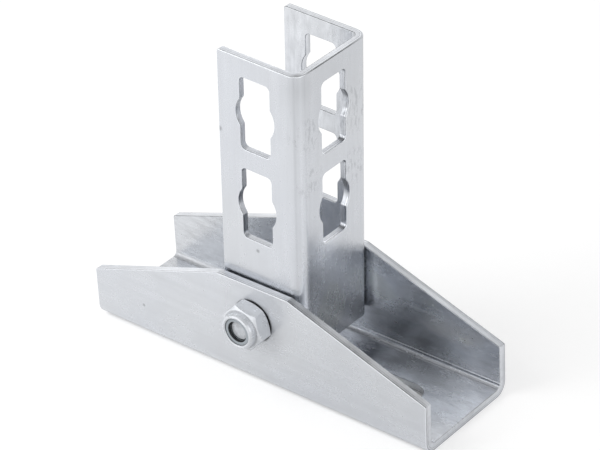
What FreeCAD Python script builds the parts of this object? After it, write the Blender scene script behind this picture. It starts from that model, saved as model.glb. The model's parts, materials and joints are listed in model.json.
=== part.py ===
# Swivelling foot for strut channel: a folded base channel, a perforated upright channel
# that tilts between its walls, and the bolt, washer and lock nut that clamp the two.
#
# Millimetres. +Z is up and the foot stands on Z = 0. +X runs along the base, towards the
# side that the upright's web faces. The nut is on the -Y side and the bolt head on +Y.
# The origin is the middle of the underside.

import FreeCAD, Part
import math
import os

Vector = FreeCAD.Vector
UP = Vector(0, 0, 1)
ALONG = Vector(1, 0, 0)
ACROSS = Vector(0, 1, 0)
touching = 1e-4            # points closer than this are the same point

# Base channel, folded from sheet
base_length = 160.0
base_width = 50.0
base_sheet = 3.5
base_bend = 2.0            # inside radius of the folds
end_height = 22.0          # wall height at the two ends
wall_over_pivot = 15.0     # wall above the bolt, at the level stretch
top_level = 34.0           # length of the level stretch over the bolt
wall_corner = 0.8          # rounding of the walls' corners

# Slots in the floor, one towards each end
slot_width = 11.0
slot_length = 30.0
slot_spacing = 88.0

# Upright channel, folded from thinner sheet
side_gap = 0.75            # between the upright and each wall of the base
upright_sheet = 3.0
upright_bend = 2.0
web_reach = 20.0           # bolt axis to the outer face of the web
edge_reach = 17.0          # bolt axis to the open edge of the flanges
tail = 13.0                # upright below the bolt axis
head_room = 110.0          # upright above the bolt axis
swing_gap = 1.6            # left over the floor when the web's corner swings past
flange_corner = 1.0
lean = 2.0                 # degrees, towards +X, as the foot stands

# Key holes in the web and flanges: a tall slot crossed by a round one
key_width = 14.0
key_height = 30.5
key_round = 18.0           # diameter of the round part
key_corner = 2.0
key_blend = 1.5            # rounding where the round part meets the sides
key_pitch = 38.7
key_rows = 2
key_margin = 8.0           # top of the upright to the top of the first hole

# Bolt, washer and lock nut, ten millimetre size
bolt_size = 10.0
hole_play = 0.25           # radial play of the bolt in the sheets and the washer
across_flats = 17.0
head_height = 6.4
head_face = 16.0           # diameter of the bearing face under the head
head_face_depth = 0.4
head_turn = 20.0           # degrees, how the head happens to stand
tip_chamfer = 0.9
tip_recess = 2.0           # how far the bolt's end lies inside the nut's mouth
washer_size = 20.0
washer_thickness = 2.0
nut_height = 10.0
nut_hex_height = 7.2
nut_turn = -11.6           # degrees, how the nut happens to stand
hex_top = 15.0             # diameter left flat by the chamfer on a hexagon's outer end
nut_seat = 15.6            # diameter of the nut's bearing face
chamfer_slope = math.tan(math.radians(30.0))
collar_size = 14.6         # round collar that holds the insert
collar_round = 1.2
mouth_size = 11.3          # opening left by the rolled lip of the collar
mouth_depth = 0.6
thread_play = 0.05
insert_size = 12.6
insert_play = 0.03         # radial, in the groove of the collar
insert_height = 2.6
insert_bore = 8.6          # where the bolt has not yet cut into it

# Places that follow from the sizes above
swing_radius = math.hypot(web_reach, tail)
pivot_height = base_sheet + swing_gap + swing_radius
top_height = pivot_height + wall_over_pivot
upright_width = base_width - 2 * base_sheet - 2 * side_gap
upright_depth = web_reach + edge_reach
hole_radius = bolt_size / 2 + hole_play
bolt_length = base_width + washer_thickness + nut_height - tip_recess
pivot = Vector(0, 0, pivot_height)


def rounded_outline(corners):
    """Closed wire through the corners, each a point with its rounding radius."""
    starts, ends, middles = [], [], []
    count = len(corners)
    for i, (point, radius) in enumerate(corners):
        back = (corners[i - 1][0] - point).normalize()
        ahead = (corners[(i + 1) % count][0] - point).normalize()
        half = back.getAngle(ahead) / 2
        starts.append(point + back * (radius / math.tan(half)))
        ends.append(point + ahead * (radius / math.tan(half)))
        middles.append(point + (back + ahead).normalize() * (radius / math.sin(half) - radius))
    edges = []
    for i, (point, radius) in enumerate(corners):
        following = starts[(i + 1) % count]
        if radius > 0:
            edges.append(Part.Arc(starts[i], middles[i], ends[i]).toShape())
        if not ends[i].isEqual(following, touching):
            edges.append(Part.makeLine(ends[i], following))
    return Part.Wire(edges)


def prism(corners, travel):
    """Solid swept from a rounded outline along one straight line."""
    return Part.Face(rounded_outline(corners)).extrude(travel)


def folded_channel(width, depth, sheet, bend, start, out, travel):
    """U section folded from sheet: the web is centred on start and the flanges run out."""
    sideways = travel.cross(out).normalize()
    outer = sideways * (width / 2)
    inner = sideways * (width / 2 - sheet)
    tip = out * depth
    web = out * sheet
    outline = [
        (start + outer + tip, 0),
        (start + outer, bend + sheet),
        (start - outer, bend + sheet),
        (start - outer + tip, 0),
        (start - inner + tip, 0),
        (start - inner + web, bend),
        (start + inner + web, bend),
        (start + inner + tip, 0),
    ]
    return prism(outline, travel)


def round_hole(centre, axis, radius, reach):
    """Cylinder that cuts the same distance to both sides of its centre."""
    return Part.makeCylinder(radius, 2 * reach, centre - axis * reach, axis)


def level_slot(centre_x):
    """Rounded slot through the floor of the base, running along X."""
    half = slot_length / 2
    radius = slot_width / 2
    low = -base_sheet
    outline = [
        (Vector(centre_x - half, -radius, low), radius),
        (Vector(centre_x + half, -radius, low), radius),
        (Vector(centre_x + half, radius, low), radius),
        (Vector(centre_x - half, radius, low), radius),
    ]
    return prism(outline, UP * (3 * base_sheet))


def base_channel():
    """Folded base: its walls fall from the level stretch over the bolt to the ends."""
    end = base_length / 2
    blank = folded_channel(base_width, top_height, base_sheet, base_bend,
                           Vector(-end, 0, 0), UP, ALONG * base_length)
    shoulder = top_level / 2
    side_view = [
        (Vector(-end, -base_width, -base_sheet), 0),
        (Vector(-end, -base_width, end_height), wall_corner),
        (Vector(-shoulder, -base_width, top_height), wall_corner),
        (Vector(shoulder, -base_width, top_height), wall_corner),
        (Vector(end, -base_width, end_height), wall_corner),
        (Vector(end, -base_width, -base_sheet), 0),
    ]
    walls = blank.common(prism(side_view, ACROSS * (2 * base_width)))
    drilled = walls.cut(round_hole(pivot, ACROSS, hole_radius, base_width))
    slots = [level_slot(sign * slot_spacing / 2) for sign in (-1, 1)]
    return drilled.cut(slots)


def key_hole(centre, side, axis, reach):
    """Cutter for one key hole, through both sides of its centre along axis."""
    start = centre - axis * reach
    half = side * (key_width / 2)
    rise = UP * (key_height / 2)
    outline = [
        (start - half - rise, key_corner),
        (start + half - rise, key_corner),
        (start + half + rise, key_corner),
        (start - half + rise, key_corner),
    ]
    slot = prism(outline, axis * (2 * reach))
    cutter = slot.fuse(round_hole(centre, axis, key_round / 2, reach)).removeSplitter()
    meet = math.sqrt((key_round / 2) ** 2 - (key_width / 2) ** 2)
    seams = []
    for edge in cutter.Edges:
        offset = edge.CenterOfMass - centre
        on_side = abs(abs(offset.dot(side)) - key_width / 2) < touching
        at_meet = abs(abs(offset.dot(UP)) - meet) < touching
        if on_side and at_meet:
            seams.append(edge)
    return cutter.makeFillet(key_blend, seams)


def upright_channel():
    """Folded upright with two rows of key holes in its web and flanges, leaned on the bolt."""
    length = tail + head_room
    foot = pivot - UP * tail
    blank = folded_channel(upright_width, upright_depth, upright_sheet, upright_bend,
                           foot + ALONG * web_reach, ALONG * -1, UP * length)
    front = foot - ACROSS * upright_width
    side_view = [
        (front - ALONG * edge_reach, flange_corner),
        (front + ALONG * (2 * web_reach), 0),
        (front + ALONG * (2 * web_reach) + UP * length, 0),
        (front - ALONG * edge_reach + UP * length, flange_corner),
    ]
    shape = blank.common(prism(side_view, ACROSS * (2 * upright_width)))
    cutters = [round_hole(pivot, ACROSS, hole_radius, upright_width)]
    for row in range(key_rows):
        drop = key_margin + key_height / 2 + row * key_pitch
        centre = pivot + UP * (head_room - drop)
        cutters.append(key_hole(centre, ALONG, ACROSS, upright_width))
        web = centre + ALONG * (web_reach - upright_sheet / 2)
        cutters.append(key_hole(web, ACROSS, ALONG, upright_sheet))
    shape = shape.cut(cutters)
    shape.rotate(pivot, ACROSS, lean)
    return shape


def turned(profile):
    """Solid of revolution about Z from a closed profile of (radius, height) points."""
    points = [Vector(radius, 0, height) for radius, height in profile]
    face = Part.Face(Part.makePolygon(points + points[:1]))
    return face.revolve(Vector(0, 0, 0), UP, 360)


def hexagon(height, turn):
    """Plain hexagonal bar on Z."""
    radius = across_flats / 2 / math.cos(math.radians(30))
    angles = [math.radians(turn + 60 * i) for i in range(6)]
    corners = [(Vector(radius * math.cos(a), radius * math.sin(a), 0), 0) for a in angles]
    return prism(corners, UP * height)


def chamfered_hexagon(height, turn):
    """Hexagonal bar whose outer corners are turned off at a slope of 30 degrees."""
    spread = height / chamfer_slope
    return hexagon(height, turn).common(Part.makeCone(hex_top / 2 + spread, hex_top / 2, height))


def set_on_axis(shape, y, outwards):
    """Moves a piece built on Z to the bolt axis, its base at y, pointing outwards along Y."""
    turn = FreeCAD.Rotation(UP, ACROSS * outwards)
    shape.Placement = FreeCAD.Placement(Vector(0, y, pivot_height), turn)
    return shape


def pivot_bolt():
    """Hexagon head bolt: its head on the washer, its end inside the nut."""
    shank_radius = bolt_size / 2
    head = chamfered_hexagon(head_height - head_face_depth, head_turn)
    head.translate(UP * head_face_depth)
    face = Part.makeCylinder(head_face / 2, head_face_depth)
    shank = turned([
        (0, head_face_depth),
        (shank_radius, head_face_depth),
        (shank_radius, tip_chamfer - bolt_length),
        (shank_radius - tip_chamfer, -bolt_length),
        (0, -bolt_length),
    ])
    bolt = head.fuse([face, shank]).removeSplitter()
    return set_on_axis(bolt, base_width / 2 + washer_thickness, 1)


def bolt_washer():
    """Plain washer between the bolt head and the back wall."""
    ring = Part.makeCylinder(washer_size / 2, washer_thickness)
    ring = ring.cut(Part.makeCylinder(hole_radius, washer_thickness))
    return set_on_axis(ring, base_width / 2, 1)


def collar():
    """Round collar on the hexagon, its rim rolled inwards over the insert."""
    cylinder = Part.makeCylinder(collar_size / 2, nut_height)
    rims = [edge for edge in cylinder.Edges if abs(edge.CenterOfMass.z - nut_height) < touching]
    return cylinder.makeFillet(collar_round, rims)


def lock_nut():
    """Hexagon lock nut: the hexagon carries a round collar rolled over the insert."""
    spread = nut_hex_height / chamfer_slope
    seat_cone = Part.makeCone(nut_seat / 2, nut_seat / 2 + spread, nut_hex_height)
    body = chamfered_hexagon(nut_hex_height, nut_turn).common(seat_cone)
    body = body.fuse(collar()).removeSplitter()
    bore = Part.makeCylinder(bolt_size / 2 + thread_play, nut_height)
    floor = insert_floor()
    groove = Part.makeCylinder(insert_size / 2 + insert_play, insert_height, UP * floor)
    mouth = Part.makeCylinder(mouth_size / 2, nut_height - floor, UP * floor)
    return set_on_axis(body.cut([bore, groove, mouth]), -base_width / 2, -1)


def insert_floor():
    """Height of the insert's lower face above the nut's bearing face."""
    return nut_height - mouth_depth - insert_height


def nut_insert():
    """Plastic ring in the collar; the bolt's end has opened its lower part."""
    floor = insert_floor()
    ring = Part.makeCylinder(insert_size / 2, insert_height, UP * floor)
    bolt_reach = nut_height - tip_recess - floor + thread_play
    opened = Part.makeCylinder(bolt_size / 2 + thread_play, bolt_reach, UP * floor)
    bore = Part.makeCylinder(insert_bore / 2, insert_height, UP * floor)
    return set_on_axis(ring.cut([opened, bore]), -base_width / 2, -1)


pieces = {
    "base_channel": base_channel(),
    "upright_channel": upright_channel(),
    "pivot_bolt": pivot_bolt(),
    "bolt_washer": bolt_washer(),
    "lock_nut": lock_nut(),
    "nut_insert": nut_insert(),
}

os.makedirs("parts", exist_ok=True)
for name, shape in pieces.items():
    shape.exportStep("parts/" + name + ".step")
    box = shape.BoundBox
    print(name, len(shape.Solids), "solid", round(shape.Volume), "mm3, Z", round(box.ZMin, 2),
          "to", round(box.ZMax, 2))
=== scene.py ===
import json
import math

import bmesh
import bpy
from mathutils import Matrix, Vector


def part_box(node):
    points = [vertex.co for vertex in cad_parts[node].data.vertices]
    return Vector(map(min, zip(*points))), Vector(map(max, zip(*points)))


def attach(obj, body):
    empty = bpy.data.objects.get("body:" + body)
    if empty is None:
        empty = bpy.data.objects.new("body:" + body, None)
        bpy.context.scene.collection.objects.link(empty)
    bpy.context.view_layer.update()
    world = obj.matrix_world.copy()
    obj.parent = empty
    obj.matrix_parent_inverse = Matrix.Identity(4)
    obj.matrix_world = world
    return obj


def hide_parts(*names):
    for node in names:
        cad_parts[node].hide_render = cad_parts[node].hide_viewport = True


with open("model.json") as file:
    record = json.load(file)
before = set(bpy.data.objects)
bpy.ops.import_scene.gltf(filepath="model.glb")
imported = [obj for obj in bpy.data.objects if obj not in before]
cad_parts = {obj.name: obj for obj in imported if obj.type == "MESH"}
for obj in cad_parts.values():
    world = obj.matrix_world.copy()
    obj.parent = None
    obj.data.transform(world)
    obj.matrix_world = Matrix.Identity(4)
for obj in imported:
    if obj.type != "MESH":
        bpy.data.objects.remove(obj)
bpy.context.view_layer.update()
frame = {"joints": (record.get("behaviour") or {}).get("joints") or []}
mm = 0.001

# Camera
# The photograph looks down on the nut's wall from the side that the upright's web faces,
# through a long lens about 1.1 metres away.
camera_data = bpy.data.cameras.new("camera")
camera_data.sensor_width = 36.0
camera_data.lens = 176.08
camera = bpy.data.objects.new("camera", camera_data)
camera.location = (0.59982, -0.70564, 0.65049)
camera.rotation_euler = [math.radians(angle) for angle in (57.3558, 2.4825, 38.5737)]
bpy.context.scene.collection.objects.link(camera)
bpy.context.scene.camera = camera
bpy.context.scene.view_settings.view_transform = "Standard"


# Studio
# A white floor in a dark room. Steel shows soft panels that stand low round it, one higher at the
# back and a weak one overhead, and is dark between them. A softbox at the left gives shadows.
class Shade:
    """A socket in a node tree. Sums and products of shades add the Math nodes for them."""

    def __init__(self, tree, socket=None):
        self.tree = tree
        self.socket = socket

    def node(self, kind, settings=None, inputs=None, output=0):
        """Adds a node: its settings are set first, then its inputs get values or links."""
        made = self.tree.nodes.new(kind)
        for name, value in (settings or {}).items():
            setattr(made, name, value)
        for name, value in (inputs or {}).items():
            if isinstance(value, Shade):
                self.tree.links.new(value.socket, made.inputs[name])
            else:
                made.inputs[name].default_value = value
        return Shade(self.tree, made.outputs[output])

    def math(self, operation, first, second):
        return self.node("ShaderNodeMath", {"operation": operation}, {0: first, 1: second})

    def __add__(self, other):
        return self.math("ADD", self, other)

    def __radd__(self, other):
        return self.math("ADD", other, self)

    def __sub__(self, other):
        return self.math("SUBTRACT", self, other)

    def __rsub__(self, other):
        return self.math("SUBTRACT", other, self)

    def __mul__(self, other):
        return self.math("MULTIPLY", self, other)

    def __rmul__(self, other):
        return self.math("MULTIPLY", other, self)

    def distance(self, point):
        return self.node("ShaderNodeVectorMath", {"operation": "DISTANCE"},
                         {0: self, 1: point}, "Value")

    def scaled(self, factor):
        return self.node("ShaderNodeVectorMath", {"operation": "SCALE"}, {0: self, "Scale": factor})

    def along(self, axis):
        """The part of this vector along X, Y or Z."""
        return self.node("ShaderNodeSeparateXYZ", None, {"Vector": self}, axis)

    def blend(self, first, second):
        """Goes from the first colour to the second as this value goes from 0 to 1. The node has
        its colours at inputs 6 and 7 and at output 2."""
        inputs = {"Factor": self, 6: (*first, 1), 7: (*second, 1)}
        return self.node("ShaderNodeMix", {"data_type": "RGBA"}, inputs, 2)

    def smooth(self, start, end, low=0.0, high=1.0):
        """Runs smoothly from low to high as this value goes from start to end."""
        inputs = {"Value": self, "From Min": start, "From Max": end, "To Min": low, "To Max": high}
        return self.node("ShaderNodeMapRange", {"interpolation_type": "SMOOTHSTEP"}, inputs)

    def show(self, kind):
        """Makes this shader the surface of the tree."""
        output = self.tree.nodes.new(kind)
        self.tree.links.new(self.socket, output.inputs["Surface"])


def new_material(name):
    """An empty node material, and the shade that its first nodes are added from."""
    made = bpy.data.materials.new(name)
    made.use_nodes = True
    made.node_tree.nodes.clear()
    return made, Shade(made.node_tree)


def light_rays(start):
    """1 for rays from the camera, and 1 for rays that a glossy or clear surface sends on."""
    camera_ray = start.node("ShaderNodeLightPath", output="Is Camera Ray")
    glossy_ray = start.node("ShaderNodeLightPath", output="Is Glossy Ray")
    clear_ray = start.node("ShaderNodeLightPath", output="Is Transmission Ray")
    return camera_ray, start.math("MAXIMUM", glossy_ray, clear_ray)


matt_light = 0.70                # from all round, on matt surfaces
soft_panels = [                  # bearing and height in degrees, and how bright steel shows it
    (0, 8, 2.2),
    (72, 35, 0.7),
    (120, 8, 1.5),
    (240, 8, 1.9),
    (300, 8, 1.05),
    (0, 90, 0.35),
]
panel_edge = 0.70                # cosine of the angle from its middle where a panel ends

world = bpy.data.worlds.new("room")
world.use_nodes = True
world.node_tree.nodes.clear()
start = Shade(world.node_tree)
camera_ray, mirror_ray = light_rays(start)
direction = start.node("ShaderNodeTexCoord", output="Generated")
shown = start.node("ShaderNodeValue")
shown.socket.default_value = 0.0
for bearing, height, brightness in soft_panels:
    turn, rise = math.radians(bearing), math.radians(height)
    middle = (math.cos(rise) * math.cos(turn), math.cos(rise) * math.sin(turn), math.sin(rise))
    nearness = start.node("ShaderNodeVectorMath", {"operation": "DOT_PRODUCT"},
                          {0: direction, 1: middle}, "Value")
    shown = shown + nearness.smooth(panel_edge, 1.0, 0.0, brightness)
lit = mirror_ray * shown + (1 - mirror_ray) * matt_light
strength = start.math("MAXIMUM", camera_ray, lit)
start.node("ShaderNodeBackground", None, {"Color": (1, 1, 1, 1), "Strength": strength}).show(
    "ShaderNodeOutputWorld")
bpy.context.scene.world = world

floor_half = 3.0
floor_colour = (0.58, 0.58, 0.58, 1)
camera_lift = 0.5                # added where it is looked at, so that it ends in white
mirror_lift = 0.43
shade_place = (0.045, -0.050, 0) # the floor before the wall's right half gives steel less light
shade_reach = 0.10
shade_core = 0.2 * shade_reach   # full shade as far as this
shade_tone = 0.73
foot_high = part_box("base_channel")[1]
under_foot = (-6 * mm, -1 * mm)  # how far in from the foot's outline the floor's glow fades
floor_mesh = bpy.data.meshes.new("floor")
square = ((-1, -1), (1, -1), (1, 1), (-1, 1))
corners = [(x * floor_half, y * floor_half, 0) for x, y in square]
floor_mesh.from_pydata(corners, [], [(0, 1, 2, 3)])
floor = bpy.data.objects.new("floor", floor_mesh)
bpy.context.scene.collection.objects.link(floor)
floor_material, start = new_material("pale floor")
camera_ray, mirror_ray = light_rays(start)
matt = start.node("ShaderNodeBsdfDiffuse", None, {"Color": floor_colour})
lift = camera_ray * camera_lift + mirror_ray * mirror_lift
ground = start.node("ShaderNodeTexCoord", output="Object")
shade_there = ground.distance(shade_place).smooth(shade_core, shade_reach, shade_tone, 1)
tone = start.math("MAXIMUM", camera_ray, shade_there)
past_foot = start.node("ShaderNodeVectorMath", {"operation": "SUBTRACT"},
                       {0: start.node("ShaderNodeVectorMath", {"operation": "ABSOLUTE"}, {0: ground}),
                        1: (foot_high.x, foot_high.y, 0)})
past_foot = start.math("MAXIMUM", past_foot.along("X"), past_foot.along("Y"))
open_floor = past_foot.smooth(*under_foot)
glow = start.node("ShaderNodeEmission", None, {"Color": tone * open_floor, "Strength": lift})
start.node("ShaderNodeAddShader", None, {0: matt, 1: glow}).show("ShaderNodeOutputMaterial")
floor_mesh.materials.append(floor_material)

lamp_place = Vector((-0.55, -0.60, 0.75))
lamp_data = bpy.data.lights.new("softbox", "AREA")
lamp_data.size = 0.7
lamp_data.energy = 5.4
lamp = bpy.data.objects.new("softbox", lamp_data)
lamp.location = lamp_place
lamp.rotation_euler = lamp_place.to_track_quat("Z", "Y").to_euler()
lamp.visible_glossy = False
bpy.context.scene.collection.objects.link(lamp)


# Base channel
# Folded from 3.5 mm zinc-coated sheet: a blank is sheared to a long hexagon, punched with two
# slots and two bolt holes, and its sides are folded up as walls that fall towards the ends.
def rounded(corners, steps=8):
    """Points of a closed outline through the corners, each a point with its rounding radius."""
    points = []
    for i, (corner, radius) in enumerate(corners):
        corner = Vector(corner)
        back = (Vector(corners[i - 1][0]) - corner).normalized()
        ahead = (Vector(corners[(i + 1) % len(corners)][0]) - corner).normalized()
        half = back.angle(ahead) / 2
        centre = corner + (back + ahead).normalized() * (radius / math.sin(half))
        start = corner + back * (radius / math.tan(half)) - centre
        end = corner + ahead * (radius / math.tan(half)) - centre
        for step in range(steps + 1):
            points.append(centre + start.slerp(end, step / steps) * radius)
    return points


def flat_curve(name, points, closed=True):
    """A flat curve through the points, hidden, for the blank to be built on."""
    data = bpy.data.curves.new(name, "CURVE")
    data.dimensions = "3D"
    spline = data.splines.new("POLY")
    spline.points.add(len(points) - 1)
    for target, point in zip(spline.points, points):
        target.co = (point[0], point[1], 0, 1)
    spline.use_cyclic_u = closed
    curve = bpy.data.objects.new(name, data)
    bpy.context.scene.collection.objects.link(curve)
    return curve


def rim_curve(sheet, edge_break, steps=3):
    """Profile of a sheared rim, its two edges eased: metal lies on its -X side."""
    half = []
    for step in range(steps + 1):
        turn = math.radians(90 * step / steps)
        half.append((edge_break * (math.sin(turn) - 1), edge_break * (math.cos(turn) - 1)))
    upper = [(x, sheet / 2 + y) for x, y in half]
    return flat_curve("rim", upper + [(x, -y) for x, y in reversed(upper)], False)


def blank_tree(circle_steps=48, merge_within=1e-6):
    """Geometry Nodes tree of a sheet blank: a rim runs along its outline, a grid of holes and two
    bolt holes, and its two faces fill what lies between the rims."""
    tree = bpy.data.node_groups.new("punched blank", "GeometryNodeTree")
    tree.interface.new_socket("Geometry", in_out="OUTPUT", socket_type="NodeSocketGeometry")
    sockets = {
        "Outline": "NodeSocketObject",
        "Hole": "NodeSocketObject",
        "Rim": "NodeSocketObject",
        "First Hole": "NodeSocketVector",
        "Count Along": "NodeSocketInt",
        "Pitch Along": "NodeSocketVector",
        "Count Across": "NodeSocketInt",
        "Pitch Across": "NodeSocketVector",
        "First Bolt Hole": "NodeSocketVector",
        "Bolt Hole Span": "NodeSocketVector",
        "Bolt Hole Radius": "NodeSocketFloat",
        "To Face": "NodeSocketVector",
        "Material": "NodeSocketMaterial",
    }
    for name, kind in sockets.items():
        tree.interface.new_socket(name, in_out="INPUT", socket_type=kind)
    start = Shade(tree)
    given = {name: start.node("NodeGroupInput", output=name) for name in sockets}

    def line(count, first, step):
        return start.node("GeometryNodeMeshLine", None,
                          {"Count": count, "Start Location": first, "Offset": step})

    def repeated(points, instance):
        return start.node("GeometryNodeInstanceOnPoints", None,
                          {"Points": points, "Instance": instance})

    def shape(name):
        return start.node("GeometryNodeObjectInfo", None, {"Object": given[name]}, "Geometry")

    def joined(parts):
        join = tree.nodes.new("GeometryNodeJoinGeometry")
        for part in parts:
            tree.links.new(part.socket, join.inputs[0])
        return start.node("GeometryNodeRealizeInstances", None,
                          {"Geometry": Shade(tree, join.outputs[0])})

    row = line(given["Count Along"], given["First Hole"], given["Pitch Along"])
    column = line(given["Count Across"], (0, 0, 0), given["Pitch Across"])
    grid = start.node("GeometryNodeRealizeInstances", None, {"Geometry": repeated(row, column)})
    pair = line(2, given["First Bolt Hole"], given["Bolt Hole Span"])
    circle = start.node("GeometryNodeCurvePrimitiveCircle", None,
                        {"Resolution": circle_steps, "Radius": given["Bolt Hole Radius"]})
    holes = start.node("GeometryNodeReverseCurve", None,
                       {"Curve": joined([repeated(grid, shape("Hole")), repeated(pair, circle)])})
    paths = start.node("GeometryNodeSetCurveNormal", {"mode": "Z_UP"},
                       {"Curve": joined([shape("Outline"), holes])})
    rims = start.node("GeometryNodeCurveToMesh", None,
                      {"Curve": paths, "Profile Curve": shape("Rim")})

    place = start.node("GeometryNodeInputPosition")
    height = place.along("Z")
    faces = start.node("GeometryNodeInputMeshEdgeNeighbors")
    border = start.node("FunctionNodeCompare", {"data_type": "INT", "operation": "EQUAL"},
                        {2: faces, 3: 1})
    sides = [rims]
    for side in (-1, 1):
        here = border * start.math("GREATER_THAN", height * side, 0)
        loops = start.node("GeometryNodeMeshToCurve", None, {"Mesh": rims, "Selection": here})
        filled = start.node("GeometryNodeFillCurve", {"mode": "TRIANGLES"}, {"Curve": loops})
        sides.append(start.node("GeometryNodeTransform", None, {
            "Geometry": filled, "Translation": given["To Face"].scaled(side)}))
    whole = start.node("GeometryNodeMergeByDistance", None,
                       {"Geometry": joined(sides), "Distance": merge_within})
    made = start.node("GeometryNodeSetMaterial", None,
                      {"Geometry": whole, "Material": given["Material"]})
    output = tree.nodes.new("NodeGroupOutput")
    tree.links.new(made.socket, output.inputs[0])
    return tree


def evaluated(obj):
    """Plain mesh of an object as its modifiers leave it."""
    graph = bpy.context.evaluated_depsgraph_get()
    return bpy.data.meshes.new_from_object(obj.evaluated_get(graph), depsgraph=graph)


def flat_blank(name, tree, values):
    """The tree's blank, its named inputs set to the values, with its sheared faces marked."""
    holder = bpy.data.objects.new(name, bpy.data.meshes.new(name))
    bpy.context.scene.collection.objects.link(holder)
    modifier = holder.modifiers.new("blank", "NODES")
    modifier.node_group = tree
    for item in tree.interface.items_tree:
        if item.item_type == "SOCKET" and item.in_out == "INPUT":
            modifier[item.identifier] = values[item.name]
    work = bmesh.new()
    work.from_mesh(evaluated(holder))
    bpy.data.objects.remove(holder)
    for key in ("Outline", "Hole", "Rim"):
        bpy.data.objects.remove(values[key])
    bmesh.ops.recalc_face_normals(work, faces=work.faces)
    cut = work.faces.layers.float.new("cut")
    for face in work.faces:
        face[cut] = 1.0 - abs(face.normal.z)
    return work


def fold_up(work, half_web, inner_radius, sheet, slices=12, beyond=2):
    """Folds both sides of a thick blank up by 90 degrees: the web's outer face comes to Z = 0.
    Its inner side is marked, and how far round the fold each point lies, from 0 to 1 and some
    slices beyond at both ends."""
    middle = inner_radius + sheet / 2
    bend = middle * math.pi / 2
    inner = work.verts.layers.float.new("inner")
    fold = work.verts.layers.float.new("fold")
    on_plane = 1e-8
    for side in (-1, 1):
        for step in range(-beyond, slices + beyond + 1):
            place = (0, side * (half_web + bend * step / slices), 0)
            everything = list(work.verts) + list(work.edges) + list(work.faces)
            bmesh.ops.bisect_plane(work, geom=everything, dist=on_plane,
                                   plane_co=place, plane_no=(0, 1, 0))
    for vertex in work.verts:
        x, y, height = vertex.co
        past = abs(y) - half_web
        angle = min(max(past, 0) / middle, math.pi / 2)
        vertex[inner] = 1.0 if height > 0 else 0.0
        vertex[fold] = min(max(past / bend, -beyond / slices), 1 + beyond / slices)
        radius = middle - height
        across = min(abs(y), half_web) + radius * math.sin(angle)
        up = sheet / 2 + middle - radius * math.cos(angle) + max(past - bend, 0)
        vertex.co = (x, math.copysign(across, y), up)
    work.normal_update()


def finished(name, work, material, body, replaced):
    """Makes the piece of a work mesh, evens its shading and hands it to the frame. Where a cut
    meets a flat face, the point is shaded as the face is."""
    cut_weight = 1e-4
    flat_below = 0.001
    cut = work.faces.layers.float.get("cut")
    normals = []
    for vertex in work.verts:
        total = Vector()
        for face in vertex.link_faces:
            share = cut_weight if cut and face[cut] > flat_below else 1.0
            total += face.normal * face.calc_area() * share
        normals.append(total.normalized())
    for face in work.faces:
        face.smooth = True
    mesh = bpy.data.meshes.new(name)
    work.to_mesh(mesh)
    work.free()
    mesh.normals_split_custom_set_from_vertices(normals)
    mesh.materials.append(material)
    piece = bpy.data.objects.new(name, mesh)
    bpy.context.scene.collection.objects.link(piece)
    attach(piece, body)
    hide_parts(replaced)


# Soft stripes along a fold, from the web at 0 to the folded side at 1, or along a cut edge, from
# its outer side at 0 to its inner at 1. Each has its middle, half its width and change of tone.
# Those along a fold are painted highlights and painted shade.
inner_fold_light = [
    (0.03, 0.15, 0.35),
    (0.35, 0.30, 0.45),
    (0.75, 0.14, -0.50),
    (0.97, 0.10, 0.95),
    (1.11, 0.05, -0.50),
]
nut_side_fold_light = [
    (0.10, 0.08, -0.05),
    (0.33, 0.14, 0.05),
    (0.64, 0.11, -0.08),
]
far_side_fold_shade = [(0.38, 0.36, -0.17)]
shear_lines = [
    (0.07, 0.13, -0.50),
    (0.38, 0.07, -0.40),
]


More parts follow.
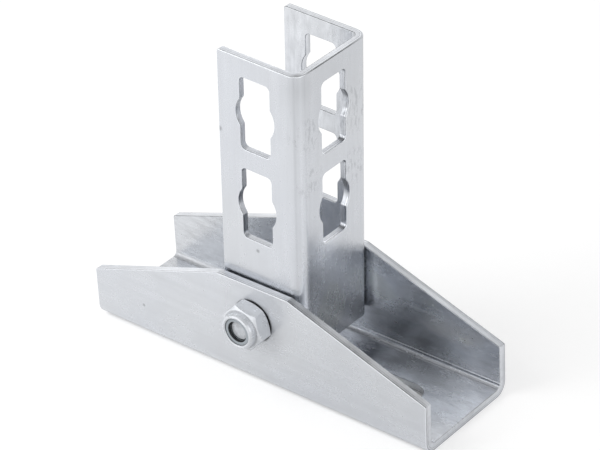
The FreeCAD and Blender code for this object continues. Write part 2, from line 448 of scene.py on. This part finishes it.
def zinc_sheet(name, tints, grain_turn, grain_axis, seed, marks):
    """Frosted zinc-coated sheet in two tints: rolling grain along one axis, edges with a painted
    highlight and folds with painted stripes of highlight and shade. The marks are lists of spots
    where it is worn, dented or rubbed matt, blackened by painted shade round the nut, or where the
    painted fold stripes are strong. Spots on its inner or outer side, its rims or the eased edges
    of its rims have a change of tone too: painted light and shade."""
    made, start = new_material(name)
    place = start.node("ShaderNodeTexCoord", output="Object")

    def spots(kind):
        return marks.get(kind, [])

    def noise(length, width, detail, offset):
        """Noise drawn out along the grain to the given length and width."""
        size = [width] * 3
        size[grain_axis] = length
        turned = start.node("ShaderNodeMapping", {"vector_type": "TEXTURE"},
                            {"Vector": place, "Rotation": grain_turn, "Scale": size,
                             "Location": (offset, offset, offset)})
        return start.node("ShaderNodeTexNoise", {"noise_dimensions": "4D"},
                          {"Vector": turned, "W": seed + offset, "Scale": 1.0, "Detail": detail,
                           "Roughness": 0.55})

    def near(places, full=0.3):
        """1 near any of the places, falling smoothly from a share of its reach to 0 at its reach."""
        total = start.node("ShaderNodeValue") * 0
        for middle, reach in places:
            total = place.distance(middle).smooth(reach, full * reach) + total
        return total

    def stripes(across, lines):
        """Sum of the stripes' changes of tone, by a value that runs across them."""
        total = 0
        for middle, half, change in lines:
            rise = across.smooth(middle - half, middle)
            total = (rise - across.smooth(middle, middle + half)) * change + total
        return total

    grain = noise(22 * mm, 0.35 * mm, 3.0, 0.1)
    streak = noise(60 * mm, 2.0 * mm, 3.0, 0.2)
    cloud = noise(12 * mm, 8 * mm, 4.0, 0.3)
    patch = noise(60 * mm, 45 * mm, 2.0, 0.4)
    frost = noise(1.8 * mm, 1.0 * mm, 3.0, 0.5)
    mottle = noise(7 * mm, 2.2 * mm, 4.0, 0.9)
    hair = noise(16 * mm, 0.16 * mm, 1.0, 0.6).smooth(0.69, 0.75)
    speck = noise(0.9 * mm, 0.7 * mm, 1.0, 0.7).smooth(0.77, 0.82)
    scuff = noise(3.5 * mm, 1.3 * mm, 3.0, 0.8).smooth(0.50, 0.64) * near(spots("worn"), full=0.5)
    dent = near(spots("dents"))
    matted = near(spots("rubbed"))
    # Painted shade: the wall goes nearly black round the bolt, in the gap under the nut's foot.
    painted_nut_shade = near(spots("oily"), full=0.9)
    inner = start.node("ShaderNodeAttribute", {"attribute_name": "inner"}, output="Fac")
    cut = start.node("ShaderNodeAttribute", {"attribute_name": "cut"}, output="Fac")
    sheared = cut.smooth(0.80, 0.95)
    eased = cut.smooth(0.01, 0.06) - sheared
    # Painted light and shade: the spots listed under inner, outer, rims and edges lighten or darken
    # the sheet where its reflections should be brighter or darker.
    tone = 0
    shares = {"inner": inner, "outer": 1 - inner, "rims": sheared, "edges": eased}
    for kind, share in shares.items():
        for middle, reach, change in spots(kind):
            tone = near([(middle, reach)], full=0) * share * change + tone
    # Painted highlight on the outer eased edges and painted shade on the inner ones; the outer ones
    # are also matt and rougher.
    edge = eased * (1 - inner)
    back_edge = eased * inner
    torn = sheared * inner.smooth(0.30, 0.40)
    shear_line = stripes(inner, shear_lines) * sheared
    fold = start.node("ShaderNodeAttribute", {"attribute_name": "fold"}, output="Fac")
    face = 1 - sheared
    # Painted highlights and painted shade along the inner side of the folds, at full strength at the
    # listed spots.
    creased = near(spots("creased"))
    fold_light = stripes(fold, inner_fold_light) * inner * face * (0.3 + creased * 0.7)
    bent = fold.smooth(-0.1, 0.2) - fold.smooth(0.85, 1.1)
    dulled = bent * inner * face * (1 - creased)
    # Painted light and shade in bands along the outer side of the folds, darker along the far side's
    # fold.
    far_side = place.along("Y").smooth(0, 1 * mm)
    outer_fold_light = stripes(fold, nut_side_fold_light) * (1 - far_side)
    outer_fold_light = (outer_fold_light + stripes(fold, far_side_fold_shade) * far_side) * (1 - inner) * face
    pale = start.math("MAXIMUM", fold_light, 0)

    darkest = 0.02               # times the sheet's colour
    palest = 1.42                # keeps the colour below white
    shade = 1 + (streak - 0.5) * 0.12 + (cloud - 0.5) * 0.12 + (grain - 0.5) * 0.08
    shade = shade + ((mottle - 0.5) * 0.60 + (grain - 0.5) * 0.12) * inner
    shade = shade + (frost - 0.5) * 0.02 + hair * 0.06 - speck * 0.12 + sheared * 0.09
    shade = shade + edge * 0.32 - back_edge * 0.12 + shear_line + fold_light * 0.45 + outer_fold_light
    shade = shade - scuff * 0.14 - dent * 0.35 - dulled * 0.03 + tone
    shade = start.node("ShaderNodeClamp", None,
                       {"Value": shade * (1 - painted_nut_shade * 0.96), "Min": darkest, "Max": palest})
    colour = patch.smooth(0.35, 0.65).blend(*tints).scaled(shade)
    roughness = 0.26 + (cloud - 0.5) * 0.14 + (frost - 0.5) * 0.08 + (streak - 0.5) * 0.06
    roughness = roughness + edge * 0.15 + scuff * 0.10 + torn * 0.12 + dulled * 0.15
    metallic = 1 - edge * 0.50 - pale - matted * 0.7 - dulled * 0.45
    fine = start.node("ShaderNodeBump", None,
                      {"Strength": 0.35, "Distance": 0.02 * mm,
                       "Height": grain * 0.6 + streak * 0.2 - hair * 0.5 - speck * 0.6})
    waves = start.node("ShaderNodeBump", None,
                       {"Strength": 1.0, "Distance": 0.02 * mm, "Normal": fine,
                        "Height": frost * 0.8 + cloud * 4 + fold_light - scuff * 0.4 - dent * 5})
    start.node("ShaderNodeBsdfPrincipled", None,
               {"Base Color": colour, "Metallic": metallic, "Roughness": roughness,
                "Normal": waves}).show("ShaderNodeOutputMaterial")
    return made


base_sheet = 3.5 * mm
base_bend = 2.0 * mm
base_corner = 0.8 * mm
end_height = 22.0 * mm
level_half = 17.0 * mm
slot_width = 11.0 * mm
slot_length = 30.0 * mm
slot_spacing = 88.0 * mm
pivot_height = frame["joints"][0]["pos_m"][2]
bolt_hole = 5.25 * mm
edge_break = 0.3 * mm

base_low, base_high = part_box("base_channel")
half_floor = base_high.y - base_sheet - base_bend
to_wall = half_floor + (base_bend + base_sheet / 2) * math.pi / 2 - base_sheet - base_bend
silver = ((0.675, 0.696, 0.737), (0.687, 0.705, 0.735))  # cooler and warmer

top_corners = [
    ((base_high.x, to_wall + end_height), base_corner),
    ((level_half, to_wall + base_high.z), base_corner),
    ((-level_half, to_wall + base_high.z), base_corner),
    ((-base_high.x, to_wall + end_height), base_corner),
]
bottom_corners = [((-x, -y), radius) for (x, y), radius in top_corners]
slot_half = slot_length / 2
slot_radius = slot_width / 2
slot_round = 0.9999 * slot_radius  # a hair under, so that no two points fall together
slot_corners = [((x * slot_half, y * slot_radius), slot_round) for x, y in square]


def spot(x, y, z, reach, *change):
    """Place and reach of a mark, given in millimetres, and its change of tone if it has one."""
    return (Vector((x, y, z)) * mm, reach * mm, *change)


blank = blank_tree()
end = base_high.x / mm
front = base_low.y / mm
back = base_high.y / mm
wall = (base_high.y - base_sheet) / mm
web_top = base_sheet / mm
axis = pivot_height / mm
# Spots under inner and rims are painted light and shade; the spot round the bolt is painted shade
# under the nut.
base_marks = {
    "worn": [spot(-40, wall, 20, 16)],
    "dents": [spot(-55.7, front, 14.2, 0.9)],
    "rubbed": [spot(4, front, axis + 4, 24)],
    # painted shade in the gap under the nut's foot
    "oily": [spot(0, front, axis, 9.4)],
    # where the painted fold stripes are at full strength
    "creased": [spot(50, wall, 5.5, 80)],
    "inner": [
        spot(64, wall, 19, 18, 0.36),
        spot(37, wall, 29, 12, 0.30),
        spot(22, wall, 29, 13, 0.45),
        spot(23, wall, 13, 11, -0.35),
        spot(27, wall, 26, 10, 0.30),
        spot(50, wall, 30, 14, 0.38),
        spot(33, wall, 11, 10, -0.20),
        spot(46, wall, 12, 12, -0.32),
        spot(57, wall, 10, 12, -0.32),
        spot(40, 20, 5, 17, -0.32),
        spot(37, 12, web_top, 9, -0.22),
        spot(72, 10, web_top, 20, -0.12),
    ],
    "rims": [
        spot(26, front, 41, 16, -0.32),
        spot(48, front, 33.2, 18, -0.38),
        spot(70, front, 25.5, 16, -0.28),
        spot(end, front, 12, 14, -0.12),
        spot(-40, front, 35, 30, 0.16),
        spot(35, back, 38, 22, -0.09),
        spot(60, back, 29, 22, -0.09),
        spot(end, back, 12, 16, -0.12),
        spot(45.5, 5.5, 2, 7, 0.36),
        spot(end, 0, 2, 24, -0.14),
    ],
}
base_steel = zinc_sheet("base steel", silver, grain_turn=(0, 0, 0), grain_axis=0, seed=3.0,
                        marks=base_marks)
base_work = flat_blank("base blank", blank, {
    "Outline": flat_curve("base outline", rounded(top_corners + bottom_corners)),
    "Hole": flat_curve("slot outline", rounded(slot_corners, steps=12)),
    "Rim": rim_curve(base_sheet, edge_break),
    "First Hole": (-slot_spacing / 2, 0, 0),
    "Count Along": 2,
    "Pitch Along": (slot_spacing, 0, 0),
    "Count Across": 1,
    "Pitch Across": (0, 0, 0),
    "First Bolt Hole": (0, -to_wall - pivot_height, 0),
    "Bolt Hole Span": (0, 2 * (to_wall + pivot_height), 0),
    "Bolt Hole Radius": bolt_hole,
    "To Face": (0, 0, base_sheet / 2),
    "Material": base_steel,
})
fold_up(base_work, half_floor, base_bend, base_sheet)
finished("base_channel_folded", base_work, base_steel, "base", "base_channel")


# Upright channel
# Folded from 3 mm sheet: a straight blank with two rows of key holes, tall slots crossed by a
# round hole, and one bolt hole in each flange. It stands on the bolt and leans by two degrees.
upright_sheet = 3.0 * mm
upright_bend = 2.0 * mm
upright_gap = 0.75 * mm
web_reach = 20.0 * mm
edge_reach = 17.0 * mm
tail = 13.0 * mm
head_room = 110.0 * mm
flange_corner = 1.0 * mm
lean = math.radians(2.0)
key_width = 14.0 * mm
key_height = 30.5 * mm
key_round = 9.0 * mm
key_corner = 2.0 * mm
key_blend = 1.5 * mm
key_pitch = 38.7 * mm
key_margin = 8.0 * mm

upright_half = base_high.y - base_sheet - upright_gap
half_web = upright_half - upright_sheet - upright_bend
to_flange = half_web + (upright_bend + upright_sheet / 2) * math.pi / 2
to_flange = to_flange - upright_sheet - upright_bend


def arc(centre, radius, first, last, steps):
    """Points of an arc from the first angle to the last, in degrees."""
    angles = [math.radians(first + (last - first) * i / steps) for i in range(steps + 1)]
    return [Vector((centre[0] + radius * math.cos(a), centre[1] + radius * math.sin(a)))
            for a in angles]


def key_outline():
    """Outline of a key hole lying along X, counter-clockwise from the right end."""
    end = key_height / 2 - key_corner
    side = key_width / 2
    blend_x = math.sqrt((key_round + key_blend) ** 2 - (side + key_blend) ** 2)
    turn = math.degrees(math.atan2(side + key_blend, blend_x))
    quarter = arc((end, side - key_corner), key_corner, 0, 90, steps=6)
    quarter += arc((blend_x, side + key_blend), key_blend, -90, -180 + turn, steps=5)
    quarter += arc((0, 0), key_round, turn, 90, steps=8)[1:]
    upper = quarter + [Vector((-p.x, p.y)) for p in reversed(quarter[:-1])]
    return upper + [-p for p in upper]


to_edge = to_flange + web_reach + edge_reach
blank_corners = [((x, y), flange_corner) for x, y in (
    (head_room, to_edge), (-tail, to_edge), (-tail, -to_edge), (head_room, -to_edge))]
flange = -upright_half / mm
# Spots under outer, rims and edges are painted light and shade: highlights on edges and rims, and
# darker or lighter patches on the web.
upright_marks = {
    "worn": [
        spot(23.2, -14, 112, 10),
        spot(22.8, -13.5, 92, 8),
        spot(23.2, 12, 112, 14),
        spot(22.8, 12, 86, 10),
    ],
    "dents": [
        spot(-14, flange, 106, 1.6),
        spot(0.8, flange, 58, 1.1),
    ],
    "outer": [
        spot(22, -6, 58, 12, 0.30),
        spot(21, -4, 47, 17, 0.22),
        spot(20, -3, 28, 24, 0.55),
        spot(23, 0, 130, 40, -0.09),
        spot(22.6, -19, 133, 10, -0.09),
    ],
    "rims": [
        spot(-2, -19.2, 139, 18, 0.10),
        spot(22.5, 2, 138.3, 16, 0.18),
        spot(22.8, -19.2, 138.3, 4, -0.40),
    ],
    "edges": [
        spot(-4, flange, 139, 16, 0.50),
        spot(10, flange, 138.7, 14, 0.50),
        spot(22, -20, 138.3, 6, 0.50),
        spot(23.8, -11, 138.2, 9, -0.80),
        spot(23.8, -3, 138.2, 11, -0.80),
        spot(23.8, 8, 138.2, 14, -0.90),
    ],
}
upright_steel = zinc_sheet("upright steel", silver, grain_turn=(0, lean, 0), grain_axis=2,
                           seed=11.0, marks=upright_marks)
top_key = head_room - key_margin - key_height / 2
upright_work = flat_blank("upright blank", blank, {
    "Outline": flat_curve("upright outline", rounded(blank_corners)),
    "Hole": flat_curve("key outline", key_outline()),
    "Rim": rim_curve(upright_sheet, edge_break),
    "First Hole": (top_key, -to_flange - web_reach, 0),
    "Count Along": 2,
    "Pitch Along": (-key_pitch, 0, 0),
    "Count Across": 3,
    "Pitch Across": (0, to_flange + web_reach, 0),
    "First Bolt Hole": (0, -to_flange - web_reach, 0),
    "Bolt Hole Span": (0, 2 * (to_flange + web_reach), 0),
    "Bolt Hole Radius": bolt_hole,
    "To Face": (0, 0, upright_sheet / 2),
    "Material": upright_steel,
})
fold_up(upright_work, half_web, upright_bend, upright_sheet)
up = Vector((math.sin(lean), 0, math.cos(lean)))
out = Vector((math.cos(lean), 0, -math.sin(lean)))
stand = Matrix((up, Vector((0, 1, 0)), -out)).transposed().to_4x4()
stand.translation = Vector((0, 0, pivot_height)) + out * web_reach
upright_work.transform(stand)
upright_work.normal_update()
finished("upright_channel_folded", upright_work, upright_steel, "upright",
         "upright_channel")


# Pivot bolt
# A ten millimetre hexagon head bolt, cold headed and thread rolled, bright zinc plated. Its head
# bears on the washer at the back wall, and its chamfered end stands just inside the nut.
def plated_steel(name, colour, seed, speckle):
    """Pale zinc plate: smooth, with fine forming marks, cloudy, and darkened by painted shade on
    faces marked for it.
    """
    made, start = new_material(name)
    place = start.node("ShaderNodeTexCoord", output="Object")

    def noise(size, detail, offset):
        return start.node("ShaderNodeTexNoise", {"noise_dimensions": "4D"},
                          {"Vector": place, "W": seed + offset, "Scale": 1 / size,
                           "Detail": detail, "Roughness": 0.6})

    cloud = noise(3.5 * mm, 3.0, 0.1)
    grit = noise(0.35 * mm, 2.0, 0.2)
    pit = noise(1.6 * mm, 3.0, 0.4)
    mark = noise(1.1 * mm, 1.0, 0.3).smooth(0.68, 0.76)
    # Painted shade on the faces marked for it: inside the nut's mouth, and partly on its shoulder.
    soiled = start.node("ShaderNodeAttribute", {"attribute_name": "soiled"}, output="Fac")
    shade = 1 + (cloud - 0.5) * 0.24 + (pit - 0.5) * speckle - mark * 0.12 - soiled * 0.75
    base = start.node("ShaderNodeRGB")
    base.socket.default_value = (*colour, 1)
    roughness = 0.26 + (cloud - 0.5) * 0.16 + mark * 0.12
    bump = start.node("ShaderNodeBump", None,
                      {"Strength": 0.3, "Distance": 0.02 * mm, "Height": grit + cloud - mark})
    start.node("ShaderNodeBsdfPrincipled", None,
               {"Base Color": base.scaled(shade), "Metallic": 0.3, "Roughness": roughness,
                "Normal": bump}).show("ShaderNodeOutputMaterial")
    return made


def skin(rings, closed=False, wrap=0):
    """Mesh over rings of points, and its rows. A closed skin joins the last ring to the first.
    With a wrap, a ring's end meets the start of the ring that many places further on."""
    work = bmesh.new()
    rows = [[work.verts.new(point) for point in ring] for ring in rings]
    count = len(rings[0])
    spans = len(rows) if closed else len(rows) - 1
    for i in range(spans):
        low, high = rows[i], rows[(i + 1) % len(rows)]
        for j in range(count):
            last = j == count - 1
            if last and wrap and i + wrap + 1 >= len(rows):
                continue
            low_next = rows[i + wrap][0] if last and wrap else low[(j + 1) % count]
            high_next = rows[i + wrap + 1][0] if last and wrap else high[(j + 1) % count]
            work.faces.new((low[j], low_next, high_next, high[j]))
    return work, rows


def hexagon_radius(angle, flats, turn, ease):
    """Distance from the axis to the side of a hexagon, its corners rounded, at an angle."""
    sector = math.radians(60)
    off = abs((angle - turn + sector / 2) % sector - sector / 2)
    centre = (flats / 2 - ease) / math.cos(sector / 2)
    if off < corner_turn(flats, ease):
        return centre * math.cos(off) + math.sqrt(ease ** 2 - (centre * math.sin(off)) ** 2)
    return flats / 2 / math.cos(sector / 2 - off)


def corner_turn(flats, ease):
    """Half the angle that a rounded corner of a hexagon takes up round the axis."""
    sector = math.radians(60)
    centre = (flats / 2 - ease) / math.cos(sector / 2)
    return math.atan2(ease * math.sin(sector / 2), centre + ease * math.cos(sector / 2))


def around(turn, flats, ease, steps=10):
    """Angles round the axis, closer together at the corners of a hexagon."""
    angles = []
    rounding = corner_turn(flats, ease)
    for side in range(6):
        corner = turn + math.radians(60 * side)
        angles += [corner + rounding * share for share in (-1, -0.5, 0, 0.5)]
        flat = math.radians(60) - 2 * rounding
        angles += [corner + rounding + flat * i / steps for i in range(steps)]
    return angles


def ring(angles, radius, height):
    """Points round the axis. The radius and the height may be functions of the angle."""
    points = []
    for angle in angles:
        r = radius(angle) if callable(radius) else radius
        z = height(angle) if callable(height) else height
        points.append(Vector((r * math.cos(angle), r * math.sin(angle), z)))
    return points


across_flats = 17.0 * mm
chamfer = math.tan(math.radians(30))
hex_top = 7.5 * mm
nut_top = 7.9 * mm
bolt_radius = 5.0 * mm
head_height = 6.4 * mm
head_face = 8.0 * mm
head_face_depth = 0.4 * mm
head_turn = math.radians(20)
washer_thickness = 2.0 * mm
nut_height = 10.0 * mm
tip_recess = 2.0 * mm
thread_pitch = 1.5 * mm
thread_depth = 0.92 * mm
thread_length = 26.0 * mm
crest_share = 0.125              # of the way from the middle of a crest to that of the next root
flank_share = 0.675
run_out_turns = 1.5
tip_radius = 3.65 * mm
corner_ease = 0.12 * mm
bolt_length = (base_high.y - base_low.y) + washer_thickness + nut_height - tip_recess


def set_on_axis(work, y, outwards):
    """Turns a piece made on Z to point outwards along Y from the given place on the bolt axis."""
    turn = Matrix.Rotation(math.radians(-90 * outwards), 4, "X")
    work.transform(Matrix.Translation((0, y, pivot_height)) @ turn)
    work.normal_update()


def head_side(angle):
    return hexagon_radius(angle, across_flats, head_turn, corner_ease)


def head_rim(angle):
    return head_height - max(head_side(angle) - hex_top, 0) * chamfer


plate = (0.63, 0.655, 0.69)
bolt_steel = plated_steel("bolt plate", plate, seed=21.0, speckle=1.3)
head_angles = around(head_turn, across_flats, corner_ease)
soft = 0.12 * mm                 # easing of the edges of the head and the nut
head_middle = 3.0 * mm
head_rings = [
    ring(head_angles, head_middle, head_height),
    ring(head_angles, hex_top - soft, head_height),
    ring(head_angles, hex_top + soft, head_height - soft * chamfer),
    ring(head_angles, lambda a: head_side(a) - soft, lambda a: head_rim(a) + soft * chamfer),
    ring(head_angles, head_side, lambda a: head_rim(a) - soft),
    ring(head_angles, head_side, head_face_depth + soft),
    ring(head_angles, lambda a: head_side(a) - soft, head_face_depth),
    ring(head_angles, head_face + soft, head_face_depth),
    ring(head_angles, head_face, head_face_depth - soft),
    ring(head_angles, head_face, 0),
    ring(head_angles, bolt_radius + soft, 0),
    ring(head_angles, bolt_radius, -soft),
    ring(head_angles, bolt_radius, thread_length - bolt_length),
]
head_work, rows = skin(head_rings)
head_work.faces.new(rows[0])

pitch_steps = 8
first_turn = bolt_length - thread_length
turns = math.ceil(thread_length / thread_pitch) + 2


def thread_radius(phase, depth):
    """Radius of the thread at a phase of its turn, from crest by flank to root and back."""
    from_crest = abs(phase % 1.0 - 0.5) * 2
    cut = min(max((from_crest - crest_share) / flank_share, 0), 1)
    run_out = min(max((depth - first_turn) / (run_out_turns * thread_pitch), 0), 1)
    cone = tip_radius + bolt_length - depth
    return min(bolt_radius - thread_depth * cut * run_out, cone)


thread_rings = []
for row in range(turns * pitch_steps + 1):
    points = []
    for angle in head_angles:
        turned = row / pitch_steps + (angle - head_angles[0]) / (2 * math.pi) - 1
        depth = min(max(first_turn + thread_pitch * turned, first_turn), bolt_length)
        points += ring([angle], thread_radius(row / pitch_steps, depth), -depth)
    thread_rings.append(points)
thread_work = skin(thread_rings, wrap=pitch_steps)[0]
thread_mesh = bpy.data.meshes.new("thread")
thread_work.to_mesh(thread_mesh)
thread_work.free()
head_work.from_mesh(thread_mesh)
seam_gap = 1e-6
bmesh.ops.remove_doubles(head_work, verts=head_work.verts, dist=seam_gap)
bmesh.ops.contextual_create(head_work, geom=[e for e in head_work.edges if e.is_boundary])
bmesh.ops.recalc_face_normals(head_work, faces=head_work.faces)
set_on_axis(head_work, base_high.y + washer_thickness, 1)
finished("pivot_bolt_threaded", head_work, bolt_steel, "base", "pivot_bolt")


# Washer
# A plain stamped washer between the bolt's head and the back wall, its edges rounded by tumbling.
washer_radius = 10.0 * mm
washer_edge = 0.35 * mm
round_angles = [math.radians(5 * i) for i in range(72)]


def turned_ring(profile):
    """Closed ring turned from a profile of (radius, height) points, anticlockwise."""
    work = skin([ring(round_angles, r, z) for r, z in profile], closed=True)[0]
    bmesh.ops.recalc_face_normals(work, faces=work.faces)
    return work


def eased(corners, radius, steps=4):
    """The corners of a profile, each rounded by the same small radius."""
    return [tuple(p) for p in rounded([(c, radius) for c in corners], steps)]


washer_work = turned_ring(eased([
    (bolt_hole, 0),
    (washer_radius, 0),
    (washer_radius, washer_thickness),
    (bolt_hole, washer_thickness),
], washer_edge))
set_on_axis(washer_work, base_high.y, 1)
washer_steel = plated_steel("washer plate", plate, seed=27.0, speckle=0.2)
finished("bolt_washer_stamped", washer_work, washer_steel, "base",
         "bolt_washer")


# Lock nut
# A ten millimetre lock nut, cold formed and zinc plated: a hexagon chamfered at both ends, with a
# round collar whose rim is rolled inwards over the plastic insert.
nut_hex_height = 7.2 * mm
nut_seat = 7.4 * mm
nut_turn = math.radians(-11.6)
nut_bore = 5.05 * mm
collar_radius = 7.3 * mm
collar_round = 1.2 * mm
mouth_radius = 5.65 * mm
mouth_depth = 0.6 * mm
insert_radius = 6.3 * mm
insert_play = 0.03 * mm
insert_height = 2.6 * mm
insert_floor = nut_height - mouth_depth - insert_height


def nut_side(angle):
    return hexagon_radius(angle, across_flats, nut_turn, corner_ease)


def nut_foot(angle):
    return max(nut_side(angle) - nut_seat, 0) * chamfer


def nut_rim(angle):
    return nut_hex_height - max(nut_side(angle) - nut_top, 0) * chamfer


nut_angles = around(nut_turn, across_flats, corner_ease)
lip_steps = 8
lip_angles = [math.radians(90 * i / lip_steps) for i in range(lip_steps, -1, -1)]
lip = [(collar_radius - collar_round + collar_round * math.sin(angle),
        nut_height - collar_round + collar_round * math.cos(angle)) for angle in lip_angles]
nut_rings = [
    ring(nut_angles, nut_bore + soft, 0),
    ring(nut_angles, nut_seat - soft, 0),
    ring(nut_angles, lambda a: nut_side(a) - soft, lambda a: max(nut_foot(a) - soft * chamfer, 0)),
    ring(nut_angles, nut_side, lambda a: nut_foot(a) + soft),
    ring(nut_angles, nut_side, lambda a: nut_rim(a) - soft),
    ring(nut_angles, lambda a: nut_side(a) - soft, lambda a: nut_rim(a) + soft * chamfer),
    ring(nut_angles, nut_top + soft, nut_hex_height - soft * chamfer),
    ring(nut_angles, nut_top - soft, nut_hex_height),
    ring(nut_angles, collar_radius + soft, nut_hex_height),
    ring(nut_angles, collar_radius, nut_hex_height + soft),
]
nut_rings += [ring(nut_angles, r, z) for r, z in lip]
nut_rings += [
    ring(nut_angles, mouth_radius + 2 * soft, nut_height - soft),
    ring(nut_angles, mouth_radius, nut_height - 3 * soft),
    ring(nut_angles, mouth_radius, nut_height - mouth_depth),
    ring(nut_angles, insert_radius + insert_play, nut_height - mouth_depth),
    ring(nut_angles, insert_radius + insert_play, insert_floor),
    ring(nut_angles, nut_bore + soft, insert_floor),
    ring(nut_angles, nut_bore, insert_floor - soft),
    ring(nut_angles, nut_bore, soft),
]
nut_work = skin(nut_rings, closed=True)[0]
bmesh.ops.recalc_face_normals(nut_work, faces=nut_work.faces)
set_on_axis(nut_work, base_low.y, -1)
nut_plate = (0.745, 0.77, 0.81)
nut_steel = plated_steel("nut plate", nut_plate, seed=33.0, speckle=0.2)
bolt_axis = Vector((0, 0, pivot_height))
# Painted shade: faces inside the collar's mouth are darkened fully, the flat shoulder round the
# collar partly.
painted_shade_layer = nut_work.faces.layers.float.new("soiled")
shoulder_shade = 0.4
for face in nut_work.faces:
    middle = face.calc_center_median()
    height = base_low.y - middle.y
    middle.y = 0
    off_axis = (middle - bolt_axis).length
    if off_axis < mouth_radius + soft / 2:
        face[painted_shade_layer] = 1.0
    elif off_axis < nut_top and abs(height - nut_hex_height) < soft:
        face[painted_shade_layer] = shoulder_shade
finished("lock_nut_formed", nut_work, nut_steel, "base", "lock_nut")


# Insert
# A ring of grey nylon pressed into the collar, with painted shade at its bore and where it meets the
# lip.
# The bolt's end has opened the inner half of its bore, and the outer half has its moulded edge.
insert_bore = 4.3 * mm
insert_edge = 0.12 * mm
tip_play = 0.05 * mm
opened_to = nut_height - tip_recess + tip_play
painted_shade_width = 0.35 * mm
insert_work = turned_ring(eased([
    (nut_bore, insert_floor),
    (insert_radius, insert_floor),
    (insert_radius, nut_height - mouth_depth),
    (insert_bore, nut_height - mouth_depth),
    (insert_bore, opened_to),
    (nut_bore, opened_to),
], insert_edge))
set_on_axis(insert_work, base_low.y, -1)

nylon, start = new_material("grey nylon")
place = start.node("ShaderNodeTexCoord", output="Object")
across = start.node("ShaderNodeVectorMath", {"operation": "MULTIPLY"}, {0: place, 1: (1, 0, 1)})
off_axis = across.distance((0, 0, pivot_height))
# Painted shade at the edge of the bore and in a thin ring where the insert meets the lip.
soiled = off_axis.smooth(insert_bore + insert_edge, insert_bore, 0.0, 0.95)
soiled = soiled + off_axis.smooth(mouth_radius - painted_shade_width, mouth_radius, 0.0, 0.7)
mottle_size = 0.8 * mm
mottle = start.node("ShaderNodeTexNoise", None,
                    {"Vector": place, "Scale": 1 / mottle_size, "Detail": 3.0})
nylon_tints = ((0.36, 0.40, 0.43), (0.44, 0.48, 0.515))
nylon_colour = mottle.smooth(0.3, 0.7).blend(*nylon_tints).scaled(1 - soiled)
nylon_bump = start.node("ShaderNodeBump", None,
                        {"Strength": 0.2, "Distance": 0.03 * mm, "Height": mottle})
start.node("ShaderNodeBsdfPrincipled", None,
           {"Base Color": nylon_colour, "Roughness": 0.38 + mottle * 0.15,
            "Normal": nylon_bump}).show("ShaderNodeOutputMaterial")
finished("nut_insert_moulded", insert_work, nylon, "base", "nut_insert")
